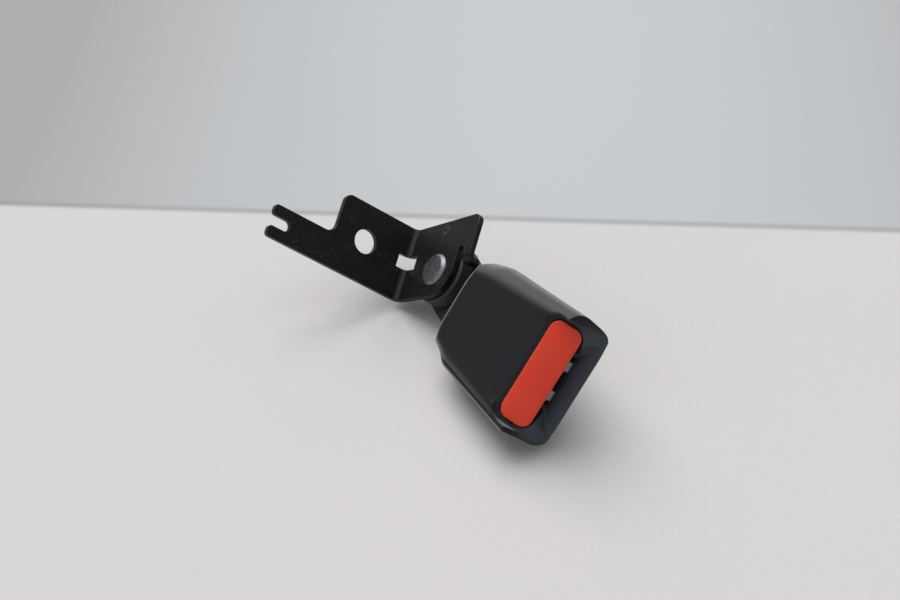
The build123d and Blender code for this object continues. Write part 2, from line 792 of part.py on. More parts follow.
# Rocking latch with its tooth through the channel
with BuildPart() as latch_plate:
    with BuildSketch(place(buckle_plane, (0, 0, latch_bottom))) as latch_outline:
        with Locations((latch_ear_rear, 0)):
            latch_length = latch_front - latch_ear_rear
            Rectangle(latch_length, 2 * latch_half_width, align=(Align.MIN, Align.CENTER))
            Rectangle(latch_ear_length, 2 * latch_ear_side, align=(Align.MIN, Align.CENTER))
        for side in (-1, 1):
            fillet(corner(latch_outline, latch_front, side * latch_half_width), ear_corner)
        with Locations((latch_pin_along, 0)):
            Rectangle(2 * latch_window_half_length, 2 * latch_window_side, mode=Mode.SUBTRACT)
    extrude(amount=latch_sheet)
    with BuildSketch(place(buckle_plane, (latch_front, 0, latch_top))):
        Rectangle(latch_sheet, 2 * latch_tooth_half_width, align=(Align.MAX, Align.CENTER))
    extrude(amount=latch_tooth_tip - latch_top)
    for side in (-1, 1):
        lug_middle = side * (latch_half_width - latch_lug_sheet / 2)
        with BuildSketch(side_plane(buckle_plane, lug_middle)):
            with Locations((latch_pin_along, latch_pin_level)):
                Circle(latch_lug_radius)
                lug_height = latch_top - latch_pin_level
                Rectangle(2 * latch_lug_radius, lug_height, align=(Align.CENTER, Align.MIN))
        extrude(amount=latch_lug_sheet / 2, both=True)
    with BuildSketch(side_plane(buckle_plane, 0)):
        with Locations((latch_pin_along, latch_pin_level)):
            Circle(latch_pin_diameter / 2 + fit_clearance)
    extrude(amount=latch_half_width + 1, both=True, mode=Mode.SUBTRACT)

# Pin the latch rocks on
with BuildPart() as latch_pin:
    with BuildSketch(side_plane(buckle_plane, 0)):
        with Locations((latch_pin_along, latch_pin_level)):
            Circle(latch_pin_diameter / 2)
    extrude(amount=latch_pin_half_length, both=True)

# Torsion spring that holds the tooth down
latch_spring_inner = latch_pin_diameter + 0.6
latch_spring_outer = latch_spring_inner + 2 * latch_spring_wire
with BuildPart() as latch_spring:
    coil_half = latch_spring_turns * (latch_spring_wire + 0.1) / 2
    coil_start = (latch_pin_along, coil_half + latch_spring_wire / 2, latch_pin_level)
    coil_base = place(buckle_plane, coil_start, (90, 0, 0))
    coil_length = 2 * coil_half + latch_spring_wire
    coil_pitch = 2 * coil_half / latch_spring_turns
    coil(coil_base, latch_spring_outer, latch_spring_wire, coil_pitch, coil_length)
    arm_radius = (latch_spring_outer - latch_spring_wire) / 2
    arm_level = latch_top + latch_spring_wire / 2
    arm_side = coil_half - latch_spring_wire / 2
    rod(
        place(buckle_plane, (latch_pin_along, arm_side, 0), (90, 0, 0)),
        [
            (0.5, latch_pin_level + arm_radius),
            (latch_window_half_length - 0.6, arm_level + 0.1),
            (latch_front - latch_pin_along - latch_spring_setback, arm_level + 0.02),
        ],
        latch_spring_wire,
    )
    rod(
        place(buckle_plane, (latch_pin_along, -arm_side, 0), (90, 0, 0)),
        [(-arm_radius, latch_pin_level + 0.2), (-arm_radius - 1.0, latch_pin_level - 1.6)],
        latch_spring_wire,
    )

# Ejector that pushes the tongue out, with two fingers at the slot
ejector_middle = strap_level - strap_thick / 2
ejector_thick = strap_thick - 2 * ejector_clearance
with BuildPart() as ejector:
    with BuildSketch(place(buckle_plane, (0, 0, ejector_middle))):
        with Locations((ejector_rear, 0)):
            bar_length = ejector_bar_front - ejector_rear
            Rectangle(bar_length, 2 * ejector_half_width, align=(Align.MIN, Align.CENTER))
            with GridLocations(0, 2 * ejector_finger_side, 1, 2):
                finger_length = ejector_tip - ejector_rear
                Rectangle(finger_length, ejector_finger_width, align=(Align.MIN, Align.CENTER))
    extrude(amount=ejector_thick / 2, both=True)
    with BuildSketch(place(buckle_plane, (0, 0, ejector_middle))):
        with Locations((ejector_rear, 0)):
            Rectangle(bar_length, ejector_barrel_width, align=(Align.MIN, Align.CENTER))
    extrude(amount=ejector_barrel_height / 2, both=True)
    with BuildSketch(place(cross_plane(buckle_plane, ejector_rear), (0, ejector_middle, 0))):
        Circle(ejector_pocket_diameter / 2)
    extrude(amount=ejector_pocket, mode=Mode.SUBTRACT)

# Ejector spring at its pushed-in length
with BuildPart() as ejector_spring:
    spring_length = ejector_rear + ejector_pocket - ejector_travel - strap_inside - slide_gap
    spring_base = place(cross_plane(buckle_plane, strap_inside), (0, ejector_middle, 0))
    spring_pitch = (spring_length - ejector_spring_wire) / ejector_spring_turns
    coil(spring_base, ejector_spring_outer, ejector_spring_wire, spring_pitch, spring_length)

# Release button with two legs over the latch ears
with BuildPart() as release_button:
    with BuildSketch(place(button_plane, (0, 0, button_rim + button_crown))):
        RectangleRounded(button_depth, button_width, button_corner)
    extrude(amount=-button_rim - button_crown - button_skirt)
    with BuildSketch(side_plane(button_plane, 0)):
        with BuildLine():
            edge = button_depth / 2 + 0.1
            ThreePointArc((-edge, button_rim), (0, button_rim + button_crown), (edge, button_rim))
            Polyline(
                (edge, button_rim),
                (edge, -1.5),
                (edge - 3, -button_skirt - 0.1),
                (-edge, -button_skirt - 0.1),
                (-edge, button_rim),
            )
        make_face()
    extrude(amount=button_width, both=True, mode=Mode.INTERSECT)
    with BuildSketch(place(button_plane, (-0.6, 0, -button_skirt))):
        RectangleRounded(button_depth - 4, button_width - 3, button_corner - 1.5)
    extrude(amount=button_skirt - button_skin, mode=Mode.SUBTRACT)
    with BuildSketch(place(button_plane, (0, 0, -button_skin + 0.2))):
        with GridLocations(0, 2 * sleeve_side, 1, 2):
            Circle(sleeve_outer / 2)
    extrude(amount=button_skin - 0.2 - sleeve_end)
    with BuildSketch(place(buckle_plane, (leg_rear, 0, leg_bottom))):
        with GridLocations(0, 2 * leg_inner + leg_width, 1, 2):
            Rectangle(leg_front - leg_rear, leg_width, align=(Align.MIN, Align.CENTER))
    extrude(amount=leg_height)
    with BuildSketch(place(button_plane, (0, 0, -button_skin))):
        with GridLocations(0, 2 * sleeve_side, 1, 2):
            Circle(sleeve_inner / 2)
    extrude(amount=button_skin - sleeve_end - 1, mode=Mode.SUBTRACT)

# Button springs at their pressed length
with BuildPart() as button_springs:
    button_spring_length = post_depth - button_skin - button_travel - slide_gap
    button_spring_pitch = (button_spring_length - button_spring_wire) / button_spring_turns
    for side in (-1, 1):
        post_top = place(button_plane, (0, side * sleeve_side, -post_depth))
        coil(post_top, button_spring_outer, button_spring_wire, button_spring_pitch, button_spring_length)

# Screws that hold the covers together
with BuildPart() as cover_screws:
    for side in (-1, 1):
        turned(place(buckle_plane, (screw_along, side * screw_side, 0)), [
            (0, screw_head_level - screw_head_height),
            (screw_head / 2 - 0.4, screw_head_level - screw_head_height),
            (screw_head / 2, screw_head_level - screw_head_height + 0.5),
            (screw_head / 2, screw_head_level),
            (screw_shank / 2, screw_head_level),
            (screw_shank / 2, screw_top - 0.8),
            (0, screw_top),
        ])

os.makedirs("parts", exist_ok=True)

mounting_bracket.part.label = "mounting_bracket"
export_step(mounting_bracket.part, "parts/mounting_bracket.step")

pivot_rivet.part.label = "pivot_rivet"
export_step(pivot_rivet.part, "parts/pivot_rivet.step")

spring_washer.part.label = "spring_washer"
export_step(spring_washer.part, "parts/spring_washer.step")

pivot_spacer.part.label = "pivot_spacer"
export_step(pivot_spacer.part, "parts/pivot_spacer.step")

pivot_bush.part.label = "pivot_bush"
export_step(pivot_bush.part, "parts/pivot_bush.step")

tail_washer.part.label = "tail_washer"
export_step(tail_washer.part, "parts/tail_washer.step")

buckle_strap.part.label = "buckle_strap"
export_step(buckle_strap.part, "parts/buckle_strap.step")

upper_cover.part.label = "upper_cover"
export_step(upper_cover.part, "parts/upper_cover.step")

lower_cover.part.label = "lower_cover"
export_step(lower_cover.part, "parts/lower_cover.step")

frame_lower_plate.part.label = "frame_lower_plate"
export_step(frame_lower_plate.part, "parts/frame_lower_plate.step")

frame_upper_plate.part.label = "frame_upper_plate"
export_step(frame_upper_plate.part, "parts/frame_upper_plate.step")

frame_rivets.part.label = "frame_rivets"
export_step(frame_rivets.part, "parts/frame_rivets.step")

latch_plate.part.label = "latch_plate"
export_step(latch_plate.part, "parts/latch_plate.step")

latch_pin.part.label = "latch_pin"
export_step(latch_pin.part, "parts/latch_pin.step")

latch_spring.part.label = "latch_spring"
export_step(latch_spring.part, "parts/latch_spring.step")

ejector.part.label = "ejector"
export_step(ejector.part, "parts/ejector.step")

ejector_spring.part.label = "ejector_spring"
export_step(ejector_spring.part, "parts/ejector_spring.step")

release_button.part.label = "release_button"
export_step(release_button.part, "parts/release_button.step")

button_springs.part.label = "button_springs"
export_step(button_springs.part, "parts/button_springs.step")

cover_screws.part.label = "cover_screws"
export_step(cover_screws.part, "parts/cover_screws.step")
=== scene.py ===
import logging
import math
from dataclasses import dataclass, field
from enum import Enum
from typing import Iterable, Optional, Sequence, Union

import bmesh
import bpy
import numpy as np
from mathutils import Matrix, Vector


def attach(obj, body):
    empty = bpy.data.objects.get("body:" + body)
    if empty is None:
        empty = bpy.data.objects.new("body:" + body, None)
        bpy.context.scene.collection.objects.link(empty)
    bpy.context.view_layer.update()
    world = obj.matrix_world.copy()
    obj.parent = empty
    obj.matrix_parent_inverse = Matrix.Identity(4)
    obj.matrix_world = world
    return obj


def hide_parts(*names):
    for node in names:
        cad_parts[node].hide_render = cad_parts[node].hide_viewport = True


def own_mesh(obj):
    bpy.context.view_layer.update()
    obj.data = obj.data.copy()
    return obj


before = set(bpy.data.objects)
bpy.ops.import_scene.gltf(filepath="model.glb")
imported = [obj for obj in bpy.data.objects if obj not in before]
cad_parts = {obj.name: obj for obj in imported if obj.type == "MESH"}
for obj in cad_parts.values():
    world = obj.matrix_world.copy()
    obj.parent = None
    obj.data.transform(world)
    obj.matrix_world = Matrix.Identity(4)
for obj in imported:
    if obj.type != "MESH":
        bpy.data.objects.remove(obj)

log = logging.getLogger("buckle")

Number = Union[float, int]
Colour = tuple[float, float, float]
Point = tuple[float, float, float]
Band = tuple[float, float]

MM = 0.001

# The housing in its own axes, in millimetres: its length, its half width at the
# rear, what that gains towards the nose, and where the parting ridge runs inside it.
HOUSING_LENGTH = 71.0
HOUSING_HALF_WIDTH = 24.3
HOUSING_FLARE = 7.4
RIDGE_INSET = 3.0
RIDGE_SPREAD = 1.3

# The share of a speck's size that is solid. The rest fades out.
SPECK_CORE = 0.6


def metres(lengths: tuple[float, ...]) -> tuple[float, ...]:
    """Turns millimetres into metres.

    Args:
        lengths: The lengths, in millimetres.

    Returns:
        The lengths, in metres.
    """
    return tuple(value * MM for value in lengths)


class Body(str, Enum):
    """Bodies of the frame that pieces ride on."""

    ANCHOR = "anchor"
    BUCKLE = "buckle"
    BUTTON = "button"
    LATCH = "latch"
    EJECTOR = "ejector_body"


class Slot(str, Enum):
    """Material slots of the record."""

    BRACKET = "bracket_paint"
    RIVET = "rivet_steel"
    WASHER = "washer_steel"
    SPACER = "spacer_plastic"
    STRAP = "strap_steel"
    HOUSING = "housing_plastic"
    FRAME = "frame_steel"
    SPRING = "spring_steel"
    EJECTOR = "ejector_plastic"
    BUTTON = "button_plastic"


@dataclass(frozen=True)
class Axes:
    """A local frame inside the row frame, in millimetres."""

    origin: Point
    x: Point
    y: Point
    z: Point

    def matrix(self) -> Matrix:
        """Gives the turn and shift from the local frame to the row frame.

        Returns:
            The matrix, in metres.
        """
        turn = Matrix((self.x, self.y, self.z)).transposed().to_4x4()
        return Matrix.Translation(Vector(self.origin) * MM) @ turn


BUCKLE_AXES = Axes(
    (54.184, 19.793, -6.465),
    (0.992034, 0.017699, 0.124722),
    (-0.103943, 0.674342, 0.731067),
    (-0.071167, -0.738207, 0.670810),
)


@dataclass(frozen=True)
class Specks:
    """Round specks that lie in patches, with scales in cells per metre."""

    scale: float
    size: float
    patch_scale: float
    patch_band: Band
    patch_detail: float = 2.0


@dataclass(frozen=True)
class Scratches:
    """Long marks that lie in patches, with scales in cells per metre."""

    scale: Point
    band: Band
    patch_scale: float
    patch_band: Band


class Wire:
    """A value in a shader tree that takes part in plain arithmetic."""

    def __init__(self, tree: "ShaderTree", socket: bpy.types.NodeSocket) -> None:
        """Wraps a socket.

        Args:
            tree: The shader tree that the socket belongs to.
            socket: The output socket that carries the value.
        """
        self.tree = tree
        self.socket = socket

    def _math(self, operation: str, *values: Union["Wire", Number]) -> "Wire":
        """Adds a math node.

        Args:
            operation: The math node's operation.
            *values: Its inputs, in order.

        Returns:
            The node's result.
        """
        links = dict(enumerate(values))
        return self.tree.node("ShaderNodeMath", {"operation": operation}, links)

    def __add__(self, other: Union["Wire", Number]) -> "Wire":
        """Adds a value.

        Args:
            other: The value to add.

        Returns:
            The sum.
        """
        return self._math("ADD", self, other)

    def __radd__(self, other: Number) -> "Wire":
        """Adds the wire to a number.

        Args:
            other: The number on the left.

        Returns:
            The sum.
        """
        return self._math("ADD", other, self)

    def __sub__(self, other: Union["Wire", Number]) -> "Wire":
        """Takes a value away.

        Args:
            other: The value to take away.

        Returns:
            The difference.
        """
        return self._math("SUBTRACT", self, other)

    def __rsub__(self, other: Number) -> "Wire":
        """Takes the wire away from a number.

        Args:
            other: The number on the left.

        Returns:
            The difference.
        """
        return self._math("SUBTRACT", other, self)

    def __mul__(self, other: Union["Wire", Number]) -> "Wire":
        """Multiplies by a value.

        Args:
            other: The factor.

        Returns:
            The product.
        """
        return self._math("MULTIPLY", self, other)

    def __rmul__(self, other: Number) -> "Wire":
        """Multiplies a number by the wire.

        Args:
            other: The number on the left.

        Returns:
            The product.
        """
        return self._math("MULTIPLY", other, self)

    def __truediv__(self, other: Union["Wire", Number]) -> "Wire":
        """Divides by a value.

        Args:
            other: The divisor.

        Returns:
            The quotient.
        """
        return self._math("DIVIDE", self, other)

    def __rtruediv__(self, other: Number) -> "Wire":
        """Divides a number by the wire.

        Args:
            other: The number on the left.

        Returns:
            The quotient.
        """
        return self._math("DIVIDE", other, self)

    def __pow__(self, other: Union["Wire", Number]) -> "Wire":
        """Raises to a power.

        Args:
            other: The exponent.

        Returns:
            The power.
        """
        return self._math("POWER", self, other)

    def ramp(self, low: float, high: float) -> "Wire":
        """Spreads a band of values over 0 to 1.

        Args:
            low: The value that becomes 0.
            high: The value that becomes 1.

        Returns:
            The eased and clamped result.
        """
        settings = {"interpolation_type": "SMOOTHSTEP"}
        links = {"Value": self, "From Min": low, "From Max": high}
        return self.tree.node("ShaderNodeMapRange", settings, links)


class ShaderTree:
    """A material's node tree with one principled shader."""

    def __init__(self, name: str) -> None:
        """Makes an empty material.

        Args:
            name: The material's name.
        """
        self.material = bpy.data.materials.new(name)
        self.material.use_nodes = True
        self.tree = self.material.node_tree
        self.tree.nodes.clear()
        self.output = self.tree.nodes.new("ShaderNodeOutputMaterial")
        self.shader = self.tree.nodes.new("ShaderNodeBsdfPrincipled")
        self.tree.links.new(self.shader.outputs[0], self.output.inputs["Surface"])

    def node(
        self,
        kind: str,
        settings: Optional[dict] = None,
        inputs: Optional[dict] = None,
        output: Union[int, str] = 0,
    ) -> Wire:
        """Adds a node, sets it up and links it.

        Args:
            kind: The node's type.
            settings: Its properties.
            inputs: Values or wires for its inputs, by name or number.
            output: The output to hand back.

        Returns:
            The chosen output.
        """
        made = self.tree.nodes.new(kind)
        for name, value in (settings or {}).items():
            setattr(made, name, value)
        for key, value in (inputs or {}).items():
            self.feed(made.inputs[key], value)
        return Wire(self, made.outputs[output])

    def feed(self, socket: bpy.types.NodeSocket, value: object) -> None:
        """Links a wire to a socket, or sets the socket's own value.

        Args:
            socket: The input socket.
            value: A wire or a plain value.
        """
        if isinstance(value, Wire):
            self.tree.links.new(value.socket, socket)
        elif isinstance(value, tuple) and socket.type == "RGBA":
            socket.default_value = (*value, 1.0)
        else:
            socket.default_value = value

    def surface(self, **inputs: object) -> None:
        """Feeds the principled shader.

        Args:
            **inputs: Its inputs, with underscores for spaces.
        """
        for name, value in inputs.items():
            self.feed(self.shader.inputs[name.replace("_", " ")], value)

    def position(self) -> Wire:
        """Gives the point on the object.

        Returns:
            The object coordinates.
        """
        return self.node("ShaderNodeTexCoord", output="Object")

    def vector(self, operation: str, *values: object, output: Union[int, str] = 0) -> Wire:
        """Adds a vector math node.

        Args:
            operation: The node's operation.
            *values: Its inputs, in order.
            output: The output to hand back.

        Returns:
            The chosen output.
        """
        links = dict(enumerate(values))
        return self.node("ShaderNodeVectorMath", {"operation": operation}, links, output)

    def distance(self, origin: Point, axis: Point) -> Wire:
        """Measures how far each point lies along an axis.

        Args:
            origin: The axis's start, in millimetres.
            axis: Its direction.

        Returns:
            The distance, in metres.
        """
        offset = self.vector("SUBTRACT", self.position(), metres(origin))
        return self.vector("DOT_PRODUCT", offset, axis, output="Value")

    def noise(self, scale: float, detail: float = 2.0, vector: Optional[Wire] = None) -> Wire:
        """Adds a noise pattern.

        Args:
            scale: Cells per metre.
            detail: Finer layers added.
            vector: Coordinates other than the object's.

        Returns:
            The pattern, from 0 to 1.
        """
        place = vector or self.position()
        inputs = {"Vector": place, "Scale": scale, "Detail": detail}
        return self.node("ShaderNodeTexNoise", {}, inputs, "Fac")

    def streaks(
        self, scale: Point, turn: Point = (0.0, 0.0, 0.0), detail: float = 2.0
    ) -> Wire:
        """Adds a noise pattern that is drawn out into long marks.

        Args:
            scale: Cells per metre along each axis.
            turn: The turn about each axis, in radians.
            detail: Finer layers added.

        Returns:
            The pattern, from 0 to 1.
        """
        inputs = {"Vector": self.position(), "Scale": scale, "Rotation": turn}
        mapped = self.node("ShaderNodeMapping", {}, inputs)
        return self.noise(1.0, detail, mapped)

    def specks(self, scale: float, size: float, vector: Optional[Wire] = None) -> Wire:
        """Adds scattered round specks.

        Args:
            scale: Cells per metre.
            size: Speck size as a share of a cell.
            vector: Coordinates other than the object's.

        Returns:
            1 on a speck and 0 off it.
        """
        place = vector or self.position()
        inputs = {"Vector": place, "Scale": scale, "Randomness": 1.0}
        distance = self.node("ShaderNodeTexVoronoi", {}, inputs, "Distance")
        return 1.0 - distance.ramp(size * SPECK_CORE, size)

    def scattered(self, specks: Specks, vector: Optional[Wire] = None) -> Wire:
        """Adds specks that lie in patches.

        Args:
            specks: Their size and spread.
            vector: Coordinates other than the object's.

        Returns:
            1 on a speck and 0 off it.
        """
        patches = self.noise(specks.patch_scale, specks.patch_detail, vector)
        spots = self.specks(specks.scale, specks.size, vector)
        return spots * patches.ramp(*specks.patch_band)

    def scratched(self, scratches: Scratches, turn: Point) -> Wire:
        """Adds scratches that lie in patches.

        Args:
            scratches: Their size and spread.
            turn: The turn about each axis, in radians.

        Returns:
            1 on a scratch and 0 off it.
        """
        lines = self.streaks(scratches.scale, turn, detail=1.0)
        patches = self.noise(scratches.patch_scale)
        return lines.ramp(*scratches.band) * patches.ramp(*scratches.patch_band)

    def facing(self) -> Wire:
        """Tells how far the surface turns away from the viewer.

        Returns:
            0 where it faces the viewer and 1 at its outline.
        """
        return self.node("ShaderNodeLayerWeight", output="Facing")

    def pointiness(self) -> Wire:
        """Tells edges from hollows.

        Returns:
            More than 0.5 on an edge and less in a hollow.
        """
        return self.node("ShaderNodeNewGeometry", output="Pointiness")

    def mix(self, factor: Union[Wire, Number], first: object, second: object) -> Wire:
        """Mixes two colours.

        Args:
            factor: The share of the second colour.
            first: The first colour.
            second: The second colour.

        Returns:
            The mixed colour.
        """
        inputs = {0: factor, 6: first, 7: second}
        return self.node("ShaderNodeMix", {"data_type": "RGBA"}, inputs, 2)

    def bump(self, height: Wire, depth: float, strength: float) -> Wire:
        """Turns a height pattern into a normal.

        Args:
            height: The pattern.
            depth: Its height in metres.
            strength: The effect's strength.

        Returns:
            The bumped normal.
        """
        inputs = {"Height": height, "Distance": depth, "Strength": strength}
        return self.node("ShaderNodeBump", {}, inputs)


@dataclass(frozen=True)
class PaintedSteel:
    """Semi-gloss black coating on sheet steel, with dust, scuffs and scratches.

    The chip's place and edge are in millimetres, scales in cells per metre.
    """

    name: str
    colour: Colour = (0.0035, 0.0035, 0.004)
    dust_colour: Colour = (0.22, 0.215, 0.21)
    roughness: float = 0.34
    scratch_turn: Point = (0.3, 0.5, 0.9)
    chip: Optional[Point] = None
    chip_colour: Colour = (0.075, 0.074, 0.07)
    chip_edge: Band = (1.2, 3.0)
    chip_share: float = 0.8
    fleck_scale: float = 900.0
    fleck_band: Band = (0.5, 0.56)
    cloud_scale: float = 60.0
    haze_scale: float = 350.0
    haze_band: Band = (0.5, 0.85)
    specks: Specks = Specks(800.0, 0.17, 140.0, (0.5, 0.62))
    fine_specks: Specks = Specks(2600.0, 0.18, 300.0, (0.46, 0.64))
    scratches: Scratches = Scratches((4200.0, 90.0, 90.0), (0.72, 0.78), 80.0, (0.55, 0.7))
    speck_share: float = 0.9
    fine_share: float = 0.4
    scratch_share: float = 0.35
    haze_share: float = 0.04
    cloud_roughness: float = 0.1
    haze_roughness: float = 0.08
    dust_roughness: float = 0.3
    grain_scale: float = 2600.0
    grain_depth: float = 0.00002
    grain_strength: float = 0.35
    swell: float = 2.0
    specular: float = 0.32
    coat: float = 0.1
    coat_roughness: float = 0.18

    def material(self) -> bpy.types.Material:
        """Builds the finish.

        Returns:
            The material.
        """
        tree = ShaderTree(self.name)
        cloud = tree.noise(self.cloud_scale, detail=4.0)
        haze = tree.noise(self.haze_scale, detail=3.0)
        pale_tone = (
            tree.scattered(self.specks) * self.speck_share
            + tree.scattered(self.fine_specks) * self.fine_share
            + tree.scratched(self.scratches, self.scratch_turn) * self.scratch_share
            + haze.ramp(*self.haze_band) * self.haze_share
        )
        rough = (
            self.roughness
            + cloud * self.cloud_roughness
            + haze * self.haze_roughness
            + pale_tone * self.dust_roughness
        )
        relief = tree.noise(self.grain_scale, detail=3.0) + cloud * self.swell
        colour = tree.mix(pale_tone, self.colour, self.dust_colour)
        if self.chip:
            colour = self.chipped(tree, colour)
        tree.surface(
            Base_Color=colour,
            Roughness=rough,
            Normal=tree.bump(relief, self.grain_depth, self.grain_strength),
        )
        tree.shader.inputs["Specular IOR Level"].default_value = self.specular
        tree.shader.inputs["Coat Weight"].default_value = self.coat
        tree.shader.inputs["Coat Roughness"].default_value = self.coat_roughness
        return tree.material

    def chipped(self, tree: ShaderTree, colour: Wire) -> Wire:
        """Adds a spot where the coating has chipped.

        Args:
            tree: The finish's shader tree.
            colour: The coating's own colour.

        Returns:
            The colour with the chip.
        """
        offset = tree.vector("SUBTRACT", tree.position(), metres(self.chip))
        radius = tree.vector("LENGTH", offset, output="Value")
        flecks = tree.noise(self.fleck_scale).ramp(*self.fleck_band)
        spot = (1.0 - radius.ramp(*metres(self.chip_edge))) * flecks
        return tree.mix(spot * self.chip_share, colour, self.chip_colour)


@dataclass(frozen=True)
class MouldedPlastic:
    """Fine-grained moulded plastic with a little lint."""

    name: str
    colour: Colour = (0.002, 0.0024, 0.0036)
    pale: Colour = (0.009, 0.0098, 0.0135)
    roughness: float = 0.4
    unevenness: float = 0.08
    cloud_scale: float = 45.0
    cloud_share: float = 0.25
    grain_scale: float = 2300.0
    grain_band: Band = (0.4, 0.75)
    grain_share: float = 0.35
    grain_depth: float = 0.00004
    grain_strength: float = 0.55
    pit_scale: float = 0.7
    pit_size: float = 0.3
    pit_depth: float = 0.4
    lint: Specks = Specks(700.0, 0.1, 120.0, (0.52, 0.66))
    lint_share: float = 0.8
    specular: float = 0.38

    def material(self) -> bpy.types.Material:
        """Builds the finish.

        Returns:
            The material.
        """
        tree = ShaderTree(self.name)
        cloud = tree.noise(self.cloud_scale, detail=3.0)
        grain = tree.noise(self.grain_scale, detail=3.0)
        pits = tree.specks(self.grain_scale * self.pit_scale, self.pit_size)
        tone = (
            cloud * self.cloud_share
            + grain.ramp(*self.grain_band) * self.grain_share
            + tree.scattered(self.lint) * self.lint_share
        )
        relief = grain - pits * self.pit_depth
        tree.surface(
            Base_Color=self.wear_and_painted_light(tree, tree.mix(tone, self.colour, self.pale)),
            Roughness=self.roughness + cloud * self.unevenness + grain * self.unevenness,
            Normal=tree.bump(relief, self.grain_depth, self.grain_strength),
        )
        tree.shader.inputs["Specular IOR Level"].default_value = self.specular
        return tree.material

    def wear_and_painted_light(self, tree: ShaderTree, colour: Wire) -> Wire:
        """Leaves the plastic's colour as it is.

        Args:
            tree: The finish's shader tree.
            colour: The plastic's own colour.

        Returns:
            The same colour.
        """
        return colour


@dataclass(frozen=True)
class CoverPlastic(MouldedPlastic):
    """Housing plastic with pale specks, a painted sheen towards its outline, a painted reflection
    in the funnel and olive beyond the ridge.

    The sizes of the funnel, the olive edge and its start are in millimetres.
    """

    # A paler bluish tone, streaked, painted into the funnel: a painted reflection of the sky.
    painted_reflection: Colour = (0.042, 0.052, 0.068)
    funnel_start: float = 57.0
    funnel_half_width: float = 24.0
    funnel_fade: float = 4.0
    funnel_top: Band = (1.0, 6.0)
    funnel_even: float = 0.85
    line_scale: Point = (150.0, 2400.0, 2400.0)
    line_band: Band = (0.4, 0.7)
    olive: Colour = (0.19, 0.2, 0.172)
    olive_edge: float = 0.2
    olive_start: Band = (8.0, 16.0)
    olive_share: float = 0.8
    # Pale tone of the specks, the edges and the painted sheen towards the outline.
    pale_tone: Colour = (0.26, 0.26, 0.255)
    sheen_band: Band = (0.3, 0.88)
    sheen_share: float = 0.8
    specks: Specks = Specks(1250.0, 0.13, 200.0, (0.46, 0.62), 3.0)
    speck_share: float = 0.3
    edge_band: Band = (0.53, 0.6)
    edge_lines: Band = (0.3, 0.6)
    edge_share: float = 0.3

    def wear_and_painted_light(self, tree: ShaderTree, colour: Wire) -> Wire:
        """Adds the pale specks, the painted sheen towards the outline, the painted reflection in
        the funnel and the olive band.

        Args:
            tree: The finish's shader tree.
            colour: The plastic's own colour.

        Returns:
            The worn colour.
        """
        along = tree.distance(BUCKLE_AXES.origin, BUCKLE_AXES.x)
        across = tree.distance(BUCKLE_AXES.origin, BUCKLE_AXES.y)
        above = tree.distance(BUCKLE_AXES.origin, BUCKLE_AXES.z)
        lines = tree.streaks(self.line_scale)
        start = self.funnel_start * MM
        inner = self.funnel_half_width * MM
        fade = self.funnel_fade * MM
        # Where the painted reflection lies: forward of the funnel's start, below its top and
        # within its width, in streaks.
        side = (across * across).ramp(inner**2.0, (inner + fade) ** 2.0)
        streaked = self.funnel_even + lines.ramp(*self.line_band) * (1.0 - self.funnel_even)
        funnel = along.ramp(start, start + fade) * (1.0 - above.ramp(*metres(self.funnel_top)))
        funnel = funnel * streaked * (1.0 - side)
        lean = (HOUSING_FLARE - RIDGE_SPREAD) / HOUSING_LENGTH
        beyond = -1.0 * across - along * lean - (HOUSING_HALF_WIDTH - RIDGE_INSET) * MM
        soft = self.olive_edge * MM
        band = beyond.ramp(-soft, soft) * along.ramp(*metres(self.olive_start))
        edges = tree.pointiness().ramp(*self.edge_band) * lines.ramp(*self.edge_lines)
        # Paler towards the outline: a painted sheen. The pale specks and the paler edges are
        # mixed into the same tone.
        pale = (
            tree.facing().ramp(*self.sheen_band) * self.sheen_share
            + tree.scattered(self.specks) * self.speck_share
            + edges * self.edge_share
        )
        dust_and_sheen = tree.mix(pale, colour, self.pale_tone)
        wear_and_painted_light = tree.mix(funnel, dust_and_sheen, self.painted_reflection)
        return tree.mix(band * self.olive_share, wear_and_painted_light, self.olive)


